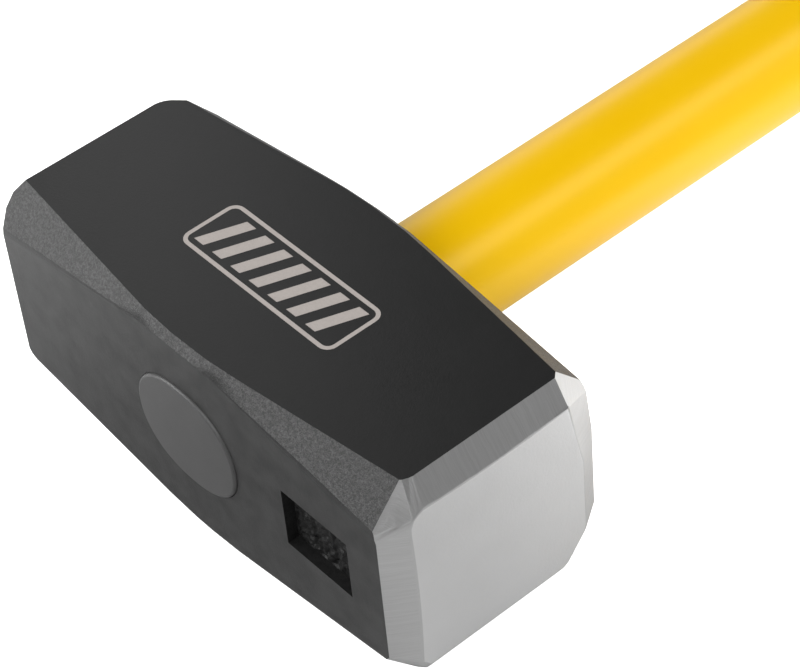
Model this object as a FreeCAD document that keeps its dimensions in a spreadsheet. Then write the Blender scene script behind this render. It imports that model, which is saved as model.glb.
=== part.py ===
import FreeCAD, Part
import os
import Sketcher
from FreeCAD import Placement, Rotation, Vector

# Sledgehammer lying on one cheek: a forged steel head on a jacketed fibreglass handle.
#
# X runs along the strike axis, Y along the handle from the head to the butt, Z up. The origin is
# the middle of the lower cheek, the face that the head lies on. Every piece is drawn about the
# middle of the head, where the strike axis and the handle axis cross, and is then lifted by half
# the head's thickness. "Top" of the eye is the end away from the handle, where the plug sits.

doc = FreeCAD.newDocument("sledgehammer")

# name of the size, its value in millimetres (or a count), what it is
driving_sizes = [
    ("head_length", 147.4, "over the crowns of both striking faces"),
    ("head_width", 63.0, "eye face to handle face"),
    ("head_thickness", 63.0, "cheek to cheek"),
    ("waist_length", 20.0, "middle stretch where the corner chamfers stay narrow"),
    ("waist_chamfer_width", 1.8, "corner chamfer at the waist, along the handle"),
    ("waist_chamfer_height", 2.2, "corner chamfer at the waist, across the cheeks"),
    ("end_chamfer_width", 9.0, "corner chamfer where the ground bevels start"),
    ("end_chamfer_height", 10.6, "the same, across the cheeks"),
    ("bevel_length", 4.8, "start of a ground bevel to the crown of its striking face"),
    ("bevel_inset", 7.3, "how far the bevels lean in by the plane of the crown"),
    ("tip_chamfer", 4.0, "what is left of a corner chamfer by the plane of the crown"),
    ("grind_stock", 1.0, "stock past the crown that the grinding takes away"),
    ("crown_radius", 900.0, "radius that both striking faces are ground to"),
    ("recess_length", 22.9, "stamped recess in the eye face, along the head"),
    ("recess_height", 17.9, "stamped recess, across the head"),
    ("recess_depth", 3.0, "stamped recess"),
    ("recess_from_end", 15.8, "crown of the near striking face to the recess"),
    ("recess_rise", 0.9, "middle of the recess above the middle of the head"),
    ("core_diameter", 22.0, "pultruded fibreglass rod"),
    ("jacket_wall", 4.85, "jacket on the bare stretch of the handle"),
    ("tang_wall", 2.0, "jacket inside the eye"),
    ("grip_seat_wall", 3.0, "jacket under the rubber grip"),
    ("neck_gap", 0.5, "bonding gap round the handle where it enters the eye"),
    ("bond_long", 4.9, "bond at the top of the eye, on the strike axis"),
    ("bond_short", 2.2, "bond at the top of the eye, across it"),
    ("eye_rise", 1.2, "middle of the eye's top above the handle axis"),
    ("plug_depth", 8.0, "seat of the plug below the eye face"),
    ("plug_proud", 0.8, "plug above the eye face"),
    ("plug_round", 0.5, "rounded rim of the plug"),
    ("collar_wall", 5.2, "neck collar, radially"),
    ("collar_length", 6.1, "neck collar along the handle"),
    ("collar_round", 1.2, "rounded outer rims of the collar"),
    ("handle_length", 640.0, "handle face of the head to the end of the butt"),
    ("grip_length", 230.0, "rubber grip, without the butt cap"),
    ("grip_wall", 3.5, "rubber over the grip seat"),
    ("grip_lip", 14.0, "smooth band at the front of the grip"),
    ("flare_length", 34.0, "cone that opens towards the butt"),
    ("flare_band", 12.0, "straight band after the flare"),
    ("flare_rise", 3.5, "how far the flare stands above the grip"),
    ("rib_pitch", 9.0, "finger groove to finger groove"),
    ("rib_groove", 3.0, "width of a finger groove"),
    ("rib_depth", 1.2, "depth of a finger groove"),
    ("cap_flange", 6.0, "butt cap outside the grip"),
    ("cap_spigot", 12.0, "butt cap inside the grip"),
    ("cap_step", 1.5, "grip rim that shows round the cap, radially"),
    ("cap_round", 2.5, "rounded rim of the butt cap"),
]

size = {name: value for name, value, note in driving_sizes}
sizes = doc.addObject("Spreadsheet::Sheet", "Sizes")
for row, (name, value, note) in enumerate(driving_sizes, start=1):
    sizes.set(f"A{row}", note)
    sizes.set(f"B{row}", str(value))
    sizes.setAlias(f"B{row}", name)
doc.recompute()

# Places and sizes that more than one piece shares, as expressions on the sheet.
axis_height = "Sizes.head_thickness / 2"
eye_face = "(-Sizes.head_width / 2)"
handle_face = "(Sizes.head_width / 2)"
plug_seat = "(-Sizes.head_width / 2 + Sizes.plug_depth)"
core_radius = "(Sizes.core_diameter / 2)"
tang_radius = "(Sizes.core_diameter / 2 + Sizes.tang_wall)"
handle_radius = "(Sizes.core_diameter / 2 + Sizes.jacket_wall)"
seat_radius = "(Sizes.core_diameter / 2 + Sizes.grip_seat_wall)"
neck_radius = "(Sizes.core_diameter / 2 + Sizes.jacket_wall + Sizes.neck_gap)"
grip_radius = "(Sizes.core_diameter / 2 + Sizes.grip_seat_wall + Sizes.grip_wall)"
flare_radius = f"({grip_radius} + Sizes.flare_rise)"
eye_long = f"(2 * {tang_radius} + 2 * Sizes.bond_long)"
eye_short = f"(2 * {tang_radius} + 2 * Sizes.bond_short)"
butt_end = f"({handle_face} + Sizes.handle_length)"
grip_end = f"({butt_end} - Sizes.cap_flange)"
grip_start = f"({grip_end} - Sizes.grip_length)"
core_end = f"({grip_end} - Sizes.cap_spigot)"


def new_body(label):
    """An empty body about the middle of the head, lifted with the head's axis."""
    body = doc.addObject("PartDesign::Body", label)
    body.Label = label
    body.Placement = Placement(Vector(0, 0, size["head_thickness"] / 2), Rotation())
    body.setExpression("Placement.Base.z", axis_height)
    return body


def origin_plane(body, role):
    return next(f for f in body.Origin.OriginFeatures if f.Role == role)


def new_sketch(body, name, role, offset=None):
    """A sketch on one of the body's origin planes, moved along the plane's normal by offset."""
    sketch = body.newObject("Sketcher::SketchObject", name)
    sketch.AttachmentSupport = (origin_plane(body, role), [""])
    sketch.MapMode = "FlatFace"
    if offset:
        sketch.setExpression("AttachmentOffset.Base.z", offset)
    return sketch


def bind_point(sketch, geo, pos, x, y):
    """Hold a sketch point at the expressions x and y; None keeps it on that axis."""
    if x is None:
        sketch.addConstraint(Sketcher.Constraint("PointOnObject", geo, pos, -2))
    else:
        index = sketch.addConstraint(Sketcher.Constraint("DistanceX", -1, 1, geo, pos, 1.0))
        sketch.setExpression(f"Constraints[{index}]", x)
    if y is None:
        sketch.addConstraint(Sketcher.Constraint("PointOnObject", geo, pos, -1))
    else:
        index = sketch.addConstraint(Sketcher.Constraint("DistanceY", -1, 1, geo, pos, 1.0))
        sketch.setExpression(f"Constraints[{index}]", y)


def draw_outline(sketch, corners):
    """A closed run of straight lines through corners, each a pair of expressions."""
    count = len(corners)
    rough = []
    for i in range(count):
        turned = Rotation(Vector(0, 0, 1), 360.0 * i / count)
        rough.append(turned.multVec(Vector(size["head_width"], 0, 0)))
    for i in range(count):
        sketch.addGeometry(Part.LineSegment(rough[i], rough[(i + 1) % count]), False)
    for i in range(count):
        sketch.addConstraint(Sketcher.Constraint("Coincident", i, 2, (i + 1) % count, 1))
    for i, (x, y) in enumerate(corners):
        bind_point(sketch, i, 1, x, y)


def draw_octagon(sketch, half_width, half_height, leg_width, leg_height):
    """A rectangle with its corners cut, round the sketch's origin."""
    corners = []
    for sx, sy, across in ((1, -1, 0), (1, 1, 1), (-1, 1, 0), (-1, -1, 1)):
        side = (f"{sx} * {half_width}", f"{sy} * ({half_height} - {leg_height})")
        end = (f"{sx} * ({half_width} - {leg_width})", f"{sy} * {half_height}")
        corners += [side, end] if across else [end, side]
    draw_outline(sketch, corners)


def draw_circle(sketch, radius):
    sketch.addGeometry(Part.Circle(Vector(0, 0, 0), Vector(0, 0, 1), size["core_diameter"]), False)
    sketch.addConstraint(Sketcher.Constraint("Coincident", 0, 3, -1, 1))
    index = sketch.addConstraint(Sketcher.Constraint("Radius", 0, size["core_diameter"]))
    sketch.setExpression(f"Constraints[{index}]", radius)


def draw_oval(sketch, width, height, rise):
    """An ellipse with its long axis along the sketch's x."""
    rough_long = size["core_diameter"]
    rough_short = rough_long / 2
    centre = Vector(0, size["eye_rise"], 0)
    long_end = centre + Vector(rough_long, 0, 0)
    short_end = centre + Vector(0, rough_short, 0)
    sketch.addGeometry(Part.Ellipse(long_end, short_end, centre), False)
    sketch.exposeInternalGeometry(0)
    sketch.addConstraint(Sketcher.Constraint("Horizontal", 1))
    bind_point(sketch, 0, 3, None, rise)
    index = sketch.addConstraint(Sketcher.Constraint("Distance", 1, 2 * rough_long))
    sketch.setExpression(f"Constraints[{index}]", width)
    index = sketch.addConstraint(Sketcher.Constraint("Distance", 2, 2 * rough_short))
    sketch.setExpression(f"Constraints[{index}]", height)


def add_pad(body, name, sketch, length, reverse=False):
    pad = body.newObject("PartDesign::Pad", name)
    pad.Profile = sketch
    pad.Reversed = reverse
    pad.setExpression("Length", length)
    doc.recompute()
    return pad


def add_cut(body, kind, name, sketch):
    """A feature of the given kind that takes material away, checked by the volume it removes."""
    doc.recompute()
    before = body.Shape.Volume
    cut = body.newObject(f"PartDesign::{kind}", name)
    cut.Profile = sketch
    return cut, before


def check_cut(body, cut, before):
    doc.recompute()
    if not body.Shape.Volume < before - 1.0:
        raise RuntimeError(f"{cut.Name} took nothing away")


def add_turned(body, name, corners):
    """A solid turned about the handle axis from corners given as radius and place along it."""
    sketch = new_sketch(body, f"{name}_profile", "XY_Plane")
    draw_outline(sketch, corners)
    turned = body.newObject("PartDesign::Revolution", name)
    turned.Profile = sketch
    turned.ReferenceAxis = (sketch, ["V_Axis"])
    turned.Angle = 360.0
    doc.recompute()
    return turned


def round_rims(body, name, base, radius, rim_radius, places):
    """Round the circular edges of base that have rim_radius and lie at one of places along Y."""
    doc.recompute()
    rims = []
    for number, edge in enumerate(base.Shape.Edges, start=1):
        if edge.Curve.TypeId != "Part::GeomCircle":
            continue
        near = any(abs(edge.Curve.Center.y - place) < 0.01 for place in places)
        if near and abs(edge.Curve.Radius - rim_radius) < 0.01:
            rims.append(f"Edge{number}")
    rounded = body.newObject("PartDesign::Fillet", name)
    rounded.Base = (base, rims)
    rounded.setExpression("Radius", radius)
    doc.recompute()
    return rounded


# Head: a forged bar whose corner chamfers open from a narrow waist to each end, then the ground
# bevels, and both striking faces ground to a crown.
head = new_body("head")

half_width = "(Sizes.head_width / 2)"
half_height = "(Sizes.head_thickness / 2)"
half_length = "(Sizes.head_length / 2)"
half_waist = "(Sizes.waist_length / 2)"
bevel_start = f"({half_length} - Sizes.bevel_length)"
stock_end = f"({half_length} + Sizes.grind_stock)"

bar_sketch = new_sketch(head, "bar_section", "YZ_Plane")
draw_outline(bar_sketch, [
    (f"{half_width}", f"-{half_height}"),
    (f"{half_width}", f"{half_height}"),
    (f"-{half_width}", f"{half_height}"),
    (f"-{half_width}", f"-{half_height}"),
])
bar = head.newObject("PartDesign::Pad", "forged_bar")
bar.Profile = bar_sketch
bar.Midplane = True
bar.setExpression("Length", f"2 * {bevel_start}")
doc.recompute()

# The chamfers keep opening at the same slope to past the bar's ends, and the wedge that cuts each
# one stands outside the bar by a share of its legs.
past_end = f"({stock_end} - {bevel_start}) / ({bevel_start} - {half_waist})"
wedge_share = 0.5


def run_out(waist_leg, end_leg):
    return f"({end_leg} + ({end_leg} - {waist_leg}) * {past_end})"


waist_legs = ("Sizes.waist_chamfer_width", "Sizes.waist_chamfer_height")
end_legs = ("Sizes.end_chamfer_width", "Sizes.end_chamfer_height")
outer_legs = tuple(run_out(waist, end) for waist, end in zip(waist_legs, end_legs))
stations = [
    (f"-{stock_end}", outer_legs),
    (f"-{half_waist}", waist_legs),
    (half_waist, waist_legs),
    (stock_end, outer_legs),
]


def draw_wedge(sketch, side, top, legs):
    """Triangle outside one corner of the bar's section, its long edge on the chamfer."""
    leg_width, leg_height = legs
    out_width = f"{side} * ({half_width} + {wedge_share} * {leg_width})"
    out_height = f"{top} * ({half_height} + {wedge_share} * {leg_height})"
    in_width = f"{side} * ({half_width} - {1 + wedge_share} * {leg_width})"
    in_height = f"{top} * ({half_height} - {1 + wedge_share} * {leg_height})"
    draw_outline(sketch, [(out_width, in_height), (out_width, out_height), (in_width, out_height)])


corners = [("handle_upper", 1, 1), ("eye_upper", -1, 1), ("eye_lower", -1, -1), ("handle_lower", 1, -1)]
for corner, side, top in corners:
    wedges = []
    for number, (place, legs) in enumerate(stations, start=1):
        wedge = new_sketch(head, f"{corner}_wedge_{number}", "YZ_Plane", place)
        draw_wedge(wedge, side, top, legs)
        wedges.append(wedge)
    chamfer, volume_before = add_cut(head, "SubtractiveLoft", f"{corner}_chamfer", wedges[0])
    chamfer.Sections = wedges[1:]
    chamfer.Ruled = True
    check_cut(head, chamfer, volume_before)

# The bevels run on at the same slope through the stock that is ground away.
to_stock_end = "(1 + Sizes.grind_stock / Sizes.bevel_length)"
tip_half_width = f"({half_width} - Sizes.bevel_inset * {to_stock_end})"
tip_half_height = f"({half_height} - Sizes.bevel_inset * {to_stock_end})"
tip_legs = tuple(f"({leg} - ({leg} - Sizes.tip_chamfer) * {to_stock_end})" for leg in end_legs)

for end_name, sign in (("near", ""), ("far", "-")):
    start_sketch = new_sketch(head, f"{end_name}_bevel_start", "YZ_Plane", f"{sign}{bevel_start}")
    draw_octagon(start_sketch, half_width, half_height, *end_legs)
    tip_sketch = new_sketch(head, f"{end_name}_tip", "YZ_Plane", f"{sign}{stock_end}")
    draw_octagon(tip_sketch, tip_half_width, tip_half_height, *tip_legs)
    doc.recompute()
    volume_before = head.Shape.Volume
    bevels = head.newObject("PartDesign::AdditiveLoft", f"{end_name}_bevels")
    bevels.Profile = start_sketch
    bevels.Sections = [tip_sketch]
    bevels.Ruled = True
    doc.recompute()
    if not head.Shape.Volume > volume_before:
        raise RuntimeError(f"{bevels.Name} added nothing")

# The crown is an arc from the middle of the striking face out past the corners.
crown_sketch = new_sketch(head, "crown_profile", "XZ_Plane")
reach = size["head_width"]
tip = size["head_length"] / 2
arc_middle = Vector(tip - size["crown_radius"], 0, 0)
arc_circle = Part.Circle(arc_middle, Vector(0, 0, 1), size["crown_radius"])
arc_turn = arc_circle.parameter(Vector(tip, reach, 0))
crown_sketch.addGeometry(Part.ArcOfCircle(arc_circle, 0, arc_turn), False)
arc_end = crown_sketch.Geometry[0].EndPoint
outer = Vector(tip + 3 * size["grind_stock"], arc_end.y, 0)
foot = Vector(outer.x, 0, 0)
for start, end in ((arc_end, outer), (outer, foot), (foot, Vector(tip, 0, 0))):
    crown_sketch.addGeometry(Part.LineSegment(start, end), False)
crown_sketch.addConstraint([
    Sketcher.Constraint("PointOnObject", 0, 3, -1),
    Sketcher.Constraint("Coincident", 0, 2, 1, 1),
    Sketcher.Constraint("Coincident", 1, 2, 2, 1),
    Sketcher.Constraint("Coincident", 2, 2, 3, 1),
    Sketcher.Constraint("Coincident", 3, 2, 0, 1),
    Sketcher.Constraint("Horizontal", 1),
    Sketcher.Constraint("Vertical", 2),
])
arc_radius = crown_sketch.addConstraint(Sketcher.Constraint("Radius", 0, size["crown_radius"]))
crown_sketch.setExpression(f"Constraints[{arc_radius}]", "Sizes.crown_radius")
bind_point(crown_sketch, 0, 1, half_length, None)
bind_point(crown_sketch, 2, 2, f"{half_length} + 3 * Sizes.grind_stock", None)
arc_reach = crown_sketch.addConstraint(Sketcher.Constraint("DistanceY", -1, 1, 0, 2, reach))
crown_sketch.setExpression(f"Constraints[{arc_reach}]", "(Sizes.head_width + Sizes.head_thickness) / 2")
crown, volume_before = add_cut(head, "Groove", "near_crown", crown_sketch)
crown.ReferenceAxis = (crown_sketch, ["H_Axis"])
crown.Angle = 360.0
check_cut(head, crown, volume_before)
volume_before = head.Shape.Volume
far_crown = head.newObject("PartDesign::Mirrored", "far_crown")
far_crown.Originals = [crown]
far_crown.MirrorPlane = (origin_plane(head, "YZ_Plane"), [""])
head.Tip = far_crown
check_cut(head, far_crown, volume_before)

# Stamped recess in the eye face, beside the near striking face.
recess_far = f"({half_length} - Sizes.recess_from_end - Sizes.recess_length)"
recess_near = f"({half_length} - Sizes.recess_from_end)"
recess_low = "(Sizes.recess_rise - Sizes.recess_height / 2)"
recess_high = "(Sizes.recess_rise + Sizes.recess_height / 2)"
recess_sketch = new_sketch(head, "recess_outline", "XZ_Plane", handle_face)
draw_outline(recess_sketch, [
    (recess_far, recess_low),
    (recess_near, recess_low),
    (recess_near, recess_high),
    (recess_far, recess_high),
])
recess, volume_before = add_cut(head, "Pocket", "stamped_recess", recess_sketch)
recess.setExpression("Length", "Sizes.recess_depth")
check_cut(head, recess, volume_before)

# Eye: an oval seat for the plug, then a passage that narrows to a round mouth for the handle.
seat_sketch = new_sketch(head, "plug_seat_outline", "XZ_Plane", handle_face)
draw_oval(seat_sketch, eye_long, eye_short, "Sizes.eye_rise")
plug_pocket, volume_before = add_cut(head, "Pocket", "plug_seat", seat_sketch)
plug_pocket.setExpression("Length", "Sizes.plug_depth")
check_cut(head, plug_pocket, volume_before)


def eye_sections(body):
    """The two outlines that the passage through the head is drawn between."""
    top = new_sketch(body, "eye_top", "XZ_Plane", f"-{plug_seat}")
    draw_oval(top, eye_long, eye_short, "Sizes.eye_rise")
    mouth = new_sketch(body, "eye_mouth", "XZ_Plane", f"-{handle_face}")
    draw_circle(mouth, neck_radius)
    return top, mouth


eye_top, eye_mouth = eye_sections(head)
passage, volume_before = add_cut(head, "SubtractiveLoft", "eye_passage", eye_top)
passage.Sections = [eye_mouth]
passage.Ruled = True
check_cut(head, passage, volume_before)

# Plug over the end of the handle, seated in the top of the eye.
eye_plug = new_body("eye_plug")
plug_sketch = new_sketch(eye_plug, "plug_outline", "XZ_Plane", f"-{plug_seat}")
draw_oval(plug_sketch, eye_long, eye_short, "Sizes.eye_rise")
plug_pad = add_pad(eye_plug, "plug_disc", plug_sketch, "Sizes.plug_depth + Sizes.plug_proud")
plug_outer = -size["head_width"] / 2 - size["plug_proud"]
rim_number = next(
    number
    for number, edge in enumerate(plug_pad.Shape.Edges, start=1)
    if abs(edge.BoundBox.YMax - plug_outer) < 0.01
)
plug_rim = eye_plug.newObject("PartDesign::Fillet", "plug_rim")
plug_rim.Base = (plug_pad, [f"Edge{rim_number}"])
plug_rim.setExpression("Radius", "Sizes.plug_round")
doc.recompute()

# Resin bond that fills the passage round the tang.
eye_bond = new_body("eye_bond")
bond_top, bond_mouth = eye_sections(eye_bond)
doc.recompute()
bond_fill = eye_bond.newObject("PartDesign::AdditiveLoft", "passage_fill")
bond_fill.Profile = bond_top
bond_fill.Sections = [bond_mouth]
bond_fill.Ruled = True
doc.recompute()
tang_sketch = new_sketch(eye_bond, "tang_outline", "XZ_Plane", f"-{plug_seat}")
draw_circle(tang_sketch, tang_radius)
tang_hole, volume_before = add_cut(eye_bond, "Pocket", "tang_hole", tang_sketch)
tang_hole.Type = 1
check_cut(eye_bond, tang_hole, volume_before)

# Fibreglass core rod, from under the plug to the butt cap.
core_rod = doc.addObject("Part::Cylinder", "core_rod")
core_rod.Label = "core_rod"
core_rod.setExpression("Radius", core_radius)
core_rod.setExpression("Height", f"{core_end} - {plug_seat}")
core_rod.Placement = Placement(Vector(0, 0, 0), Rotation(Vector(1, 0, 0), -90))
core_rod.setExpression("Placement.Base.y", plug_seat)
core_rod.setExpression("Placement.Base.z", axis_height)

# Moulded jacket: a tang inside the eye, the bare handle, and a seat under the grip.
jacket = new_body("jacket")
add_turned(jacket, "jacket_moulding", [
    (core_radius, plug_seat),
    (tang_radius, plug_seat),
    (tang_radius, handle_face),
    (handle_radius, handle_face),
    (handle_radius, grip_start),
    (seat_radius, grip_start),
    (seat_radius, core_end),
    (core_radius, core_end),
])

# Collar round the neck, against the handle face of the head.
neck_collar = new_body("neck_collar")
collar_radius = f"({handle_radius} + Sizes.collar_wall)"
collar_end = f"({handle_face} + Sizes.collar_length)"
collar_ring = add_turned(neck_collar, "collar_ring", [
    (handle_radius, handle_face),
    (collar_radius, handle_face),
    (collar_radius, collar_end),
    (handle_radius, collar_end),
])
collar_rim = size["core_diameter"] / 2 + size["jacket_wall"] + size["collar_wall"]
collar_places = [size["head_width"] / 2 + size["collar_length"]]
round_rims(neck_collar, "collar_rim", collar_ring, "Sizes.collar_round", collar_rim, collar_places)

# Rubber grip with finger grooves and a flare at the butt.
grip = new_body("grip")
flare_end = f"({grip_end} - Sizes.flare_band)"
flare_start = f"({flare_end} - Sizes.flare_length)"
add_turned(grip, "grip_sleeve", [
    (seat_radius, grip_start),
    (grip_radius, grip_start),
    (grip_radius, flare_start),
    (flare_radius, flare_end),
    (flare_radius, grip_end),
    (seat_radius, grip_end),
])
groove_floor = f"({grip_radius} - Sizes.rib_depth)"
groove_outside = f"({grip_radius} + Sizes.rib_depth)"
groove_start = f"({grip_start} + Sizes.grip_lip)"
groove_stop = f"({groove_start} + Sizes.rib_groove)"
groove_sketch = new_sketch(grip, "finger_groove_profile", "XY_Plane")
draw_outline(groove_sketch, [
    (groove_floor, groove_start),
    (groove_outside, groove_start),
    (groove_outside, groove_stop),
    (groove_floor, groove_stop),
])
groove, volume_before = add_cut(grip, "Groove", "finger_groove", groove_sketch)
groove.ReferenceAxis = (groove_sketch, ["V_Axis"])
groove.Angle = 360.0
check_cut(grip, groove, volume_before)
volume_before = grip.Shape.Volume
ribbed_length = f"({flare_start} - {groove_stop} - Sizes.rib_groove)"
grooves = grip.newObject("PartDesign::LinearPattern", "finger_grooves")
grooves.Originals = [groove]
grooves.Direction = (groove_sketch, ["V_Axis"])
grooves.setExpression("Occurrences", f"1 + floor({ribbed_length} / Sizes.rib_pitch)")
grooves.setExpression("Length", f"Sizes.rib_pitch * floor({ribbed_length} / Sizes.rib_pitch)")
grip.Tip = grooves
check_cut(grip, grooves, volume_before)

# Butt cap: a spigot in the end of the grip, against the core and the jacket, and a flange.
butt_cap = new_body("butt_cap")
cap_radius = f"({flare_radius} - Sizes.cap_step)"
cap_turned = add_turned(butt_cap, "cap_moulding", [
    (None, core_end),
    (seat_radius, core_end),
    (seat_radius, grip_end),
    (cap_radius, grip_end),
    (cap_radius, butt_end),
    (None, butt_end),
])
cap_rim = size["core_diameter"] / 2 + size["grip_seat_wall"] + size["grip_wall"]
cap_rim += size["flare_rise"] - size["cap_step"]
cap_places = [size["head_width"] / 2 + size["handle_length"]]
round_rims(butt_cap, "cap_rim", cap_turned, "Sizes.cap_round", cap_rim, cap_places)

doc.recompute()

pieces = [head, eye_plug, eye_bond, core_rod, jacket, neck_collar, grip, butt_cap]
for made in doc.Objects:
    if "Invalid" in made.State or "Error" in made.State:
        raise RuntimeError(f"{made.Label} did not recompute: {made.State}")
for piece in pieces:
    shape = piece.Shape
    if shape.isNull() or not shape.isValid() or len(shape.Solids) != 1:
        raise RuntimeError(f"{piece.Label} is not one valid solid")

os.makedirs("parts", exist_ok=True)
for piece in pieces:
    piece.Shape.exportStep(f"parts/{piece.Label}.step")
    box = piece.Shape.BoundBox
    print(f"{piece.Label}: {piece.Shape.Volume / 1000:.1f} cm3, "
          f"x {box.XMin:.1f} {box.XMax:.1f}, y {box.YMin:.1f} {box.YMax:.1f}, "
          f"z {box.ZMin:.1f} {box.ZMax:.1f}")
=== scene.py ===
import math
import bpy
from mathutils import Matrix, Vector, geometry


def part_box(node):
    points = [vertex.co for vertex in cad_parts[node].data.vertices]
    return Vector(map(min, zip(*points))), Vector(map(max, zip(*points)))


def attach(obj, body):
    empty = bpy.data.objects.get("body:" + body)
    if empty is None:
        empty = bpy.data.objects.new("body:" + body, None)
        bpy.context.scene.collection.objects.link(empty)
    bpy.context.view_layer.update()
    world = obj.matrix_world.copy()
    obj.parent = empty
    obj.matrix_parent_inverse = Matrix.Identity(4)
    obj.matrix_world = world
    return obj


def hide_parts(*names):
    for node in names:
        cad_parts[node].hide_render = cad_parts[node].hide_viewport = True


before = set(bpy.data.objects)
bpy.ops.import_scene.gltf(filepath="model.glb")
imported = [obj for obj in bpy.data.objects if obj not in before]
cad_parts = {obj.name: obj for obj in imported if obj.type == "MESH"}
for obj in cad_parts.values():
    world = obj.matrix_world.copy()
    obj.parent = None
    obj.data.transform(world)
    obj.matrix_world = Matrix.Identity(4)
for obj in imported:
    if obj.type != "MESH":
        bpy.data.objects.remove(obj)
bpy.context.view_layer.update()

headLow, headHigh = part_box("head")
axisHeight = (headLow.z + headHigh.z) / 2   # strike axis and handle axis
halfLength = headHigh.x
halfWidth = headHigh.y                      # eye face is at -halfWidth, handle face at +halfWidth
halfThick = (headHigh.z - headLow.z) / 2
scene = bpy.context.scene


# selecting, cutting and turning

def startPiece():
    if bpy.context.mode != "OBJECT":
        bpy.ops.object.mode_set(mode="OBJECT")
    bpy.ops.object.select_all(action="DESELECT")


def newPiece(name):
    piece = bpy.context.active_object
    piece.name = name
    piece.data.name = name
    bpy.ops.object.transform_apply(location=True, rotation=True, scale=True)
    return piece


def makeActive(piece):
    startPiece()
    piece.select_set(True)
    bpy.context.view_layer.objects.active = piece


def edit(piece):
    makeActive(piece)
    bpy.ops.object.mode_set(mode="EDIT")


def leaveEdit():
    bpy.ops.object.mode_set(mode="OBJECT")


def selectFaces(piece, wanted):
    bpy.ops.mesh.select_mode(type="FACE")
    bpy.ops.mesh.select_all(action="DESELECT")
    leaveEdit()
    for face in piece.data.polygons:
        face.select = wanted(face.center, face.normal)
    bpy.ops.object.mode_set(mode="EDIT")


def selectEdges(piece, wanted):
    bpy.ops.mesh.select_mode(type="EDGE")
    bpy.ops.mesh.select_all(action="DESELECT")
    leaveEdit()
    places = piece.data.vertices
    for line in piece.data.edges:
        line.select = wanted(places[line.vertices[0]].co, places[line.vertices[1]].co)
    bpy.ops.object.mode_set(mode="EDIT")


def selectEdgesBetween(piece, oneSide, otherSide):
    # edges whose two faces point the two ways asked for
    bpy.ops.mesh.select_mode(type="EDGE")
    bpy.ops.mesh.select_all(action="DESELECT")
    leaveEdit()
    beside = {}
    for face in piece.data.polygons:
        for key in face.edge_keys:
            beside.setdefault(key, []).append(face.normal.copy())
    for line in piece.data.edges:
        pair = beside.get(line.key, [])
        if len(pair) == 2:
            first, second = pair
            oneWay = oneSide(first) and otherSide(second)
            otherWay = oneSide(second) and otherSide(first)
            line.select = oneWay or otherWay
    bpy.ops.object.mode_set(mode="EDIT")


def applyModifier(piece, kind, **settings):
    makeActive(piece)
    modifier = piece.modifiers.new(kind.lower(), kind)
    for key, value in settings.items():
        setattr(modifier, key, value)
    bpy.ops.object.modifier_apply(modifier=modifier.name)


def cutWith(piece, cutter, operation):
    applyModifier(piece, "BOOLEAN", object=cutter, operation=operation, solver="EXACT")
    bpy.data.objects.remove(cutter)


def cutAway(point, outward):
    # all that lies past the plane goes, and the skin is drawn tight again over what is left
    bpy.ops.mesh.select_all(action="SELECT")
    bpy.ops.mesh.bisect(plane_co=point, plane_no=outward, clear_outer=True)
    bpy.ops.mesh.select_all(action="SELECT")
    bpy.ops.mesh.remove_doubles(threshold=3e-6)
    bpy.ops.mesh.convex_hull(join_triangles=False)
    bpy.ops.mesh.select_all(action="SELECT")
    bpy.ops.mesh.dissolve_limited(angle_limit=math.radians(0.1))


def roundingPlanes(first, second, radius, steps):
    # planes tangent to a rounding between two planes, each a point and its outward normal
    point, along = geometry.intersect_plane_plane(first[0], first[1], second[0], second[1])
    centre = point - (first[1] + second[1]) * radius / (1 + first[1].dot(second[1]))
    turns = [first[1].slerp(second[1], step / (steps + 1)) for step in range(1, steps + 1)]
    return [(centre + outward * radius, outward) for outward in turns]


def turned(name, stations, sides):
    # a ring pulled from station to station round the handle axis; a tube's last station is its first
    startPiece()
    radius, along = stations[0]
    bpy.ops.mesh.primitive_circle_add(vertices=sides, radius=radius, fill_type="NOTHING",
                                      location=(0, along, axisHeight), rotation=(math.radians(90), 0, 0))
    piece = newPiece(name)
    edit(piece)
    bpy.ops.mesh.select_mode(type="VERT")
    bpy.ops.mesh.select_all(action="SELECT")
    for nextRadius, nextAlong in stations[1:]:
        bpy.ops.mesh.extrude_region_move(TRANSFORM_OT_translate={"value": (0, nextAlong - along, 0)})
        if abs(nextRadius - radius) > 1e-7:
            share = nextRadius / radius
            bpy.ops.transform.resize(value=(share, 1, share), center_override=(0, nextAlong, axisHeight))
        radius, along = nextRadius, nextAlong
    bpy.ops.mesh.select_all(action="SELECT")
    bpy.ops.mesh.remove_doubles(threshold=1e-6)
    bpy.ops.mesh.normals_make_consistent(inside=False)
    leaveEdit()
    return piece


def smooth(piece, angle):
    makeActive(piece)
    bpy.ops.object.shade_smooth_by_angle(angle=math.radians(angle))
    applyModifier(piece, "WEIGHTED_NORMAL", keep_sharp=True, weight=60)


def settle(piece, slotName, *nodes):
    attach(piece, "root")
    if nodes:
        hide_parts(*nodes)
    print("made", piece.name, len(piece.data.polygons), "faces")


# nodes of the materials

def newGroup(name, inputs, outputs):
    group = bpy.data.node_groups.new(name, "ShaderNodeTree")
    for label, value in inputs.items():
        socket = group.interface.new_socket(name=label, in_out="INPUT", socket_type="NodeSocketFloat")
        socket.default_value = value
    for label in outputs:
        group.interface.new_socket(name=label, in_out="OUTPUT", socket_type="NodeSocketFloat")
    return group, group.nodes.new("NodeGroupInput"), group.nodes.new("NodeGroupOutput")


def node(tree, kind, **settings):
    made = tree.nodes.new(kind)
    for key, value in settings.items():
        setattr(made, key, value)
    return made


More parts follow.
